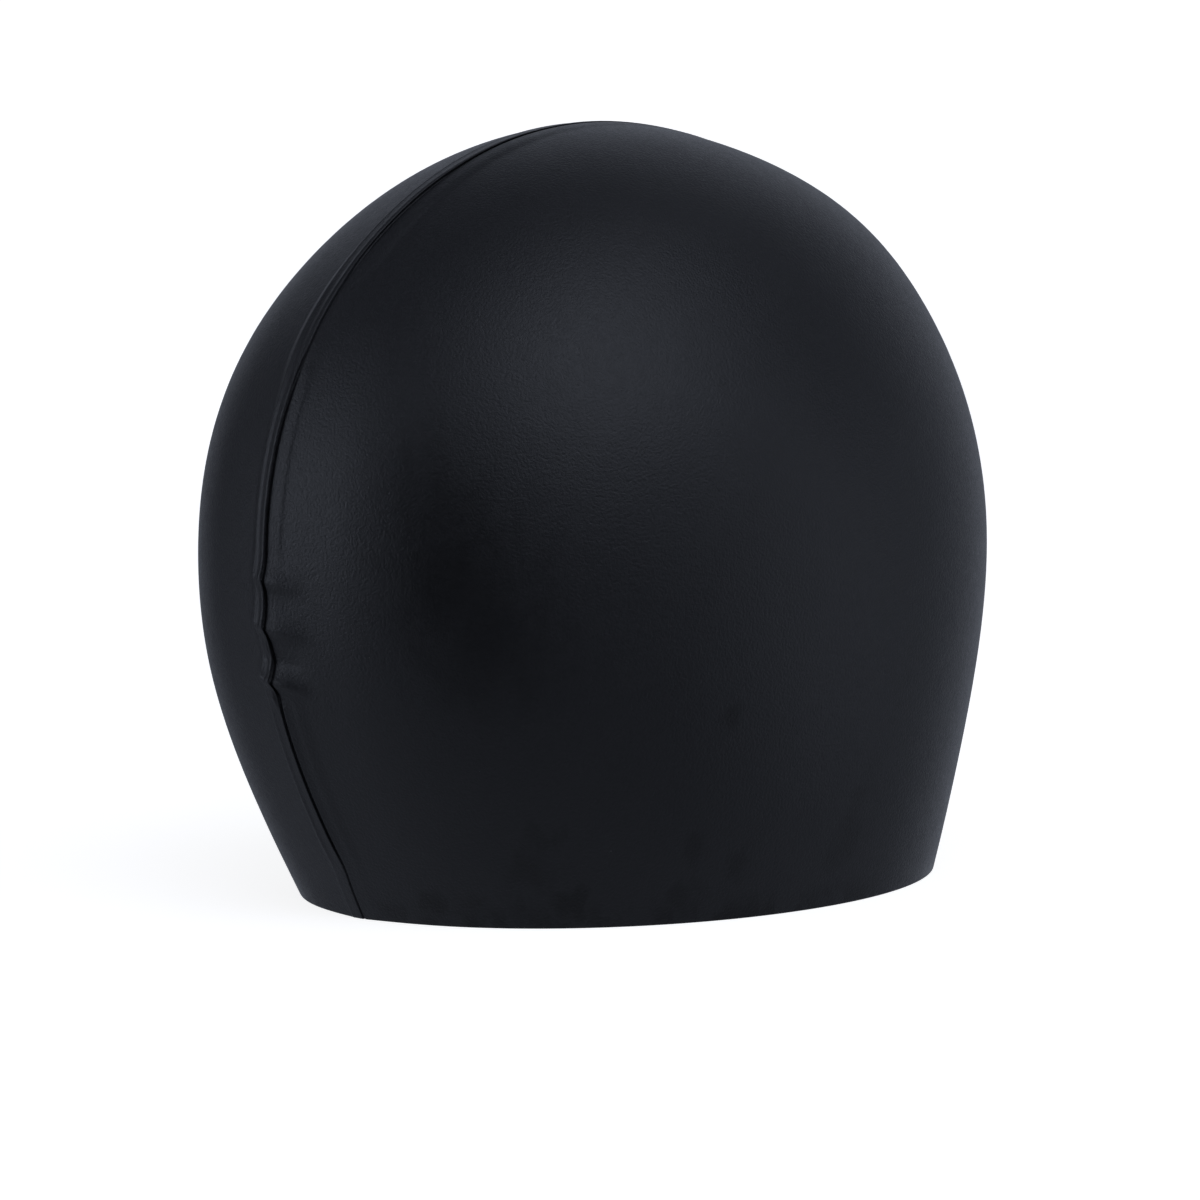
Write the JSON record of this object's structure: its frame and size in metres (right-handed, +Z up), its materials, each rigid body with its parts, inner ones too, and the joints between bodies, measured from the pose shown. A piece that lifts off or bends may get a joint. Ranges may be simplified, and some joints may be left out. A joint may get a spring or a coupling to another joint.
{
  "type": "swim cap",
  "caption": "Plain moulded silicone swim cap: a tall hollow dome with a flat cut rim and a raised seam that runs from the nape over the crown to the forehead.",
  "frame": {"origin": "centre of the cap's outline on the plane of its rim, on which it stands", "axes": "+Z up from the rim to the crown, +Y towards the nape, so the wearer faces -Y, and -X is the wearer's right"},
  "size_m": [0.1564, 0.1965, 0.1704],
  "materials": {
    "black_silicone": "satin, softly reflecting black silicone rubber"
  },
  "bodies": {
    "root": {"cap_shell": "black_silicone"}
  },
  "joints": []
}
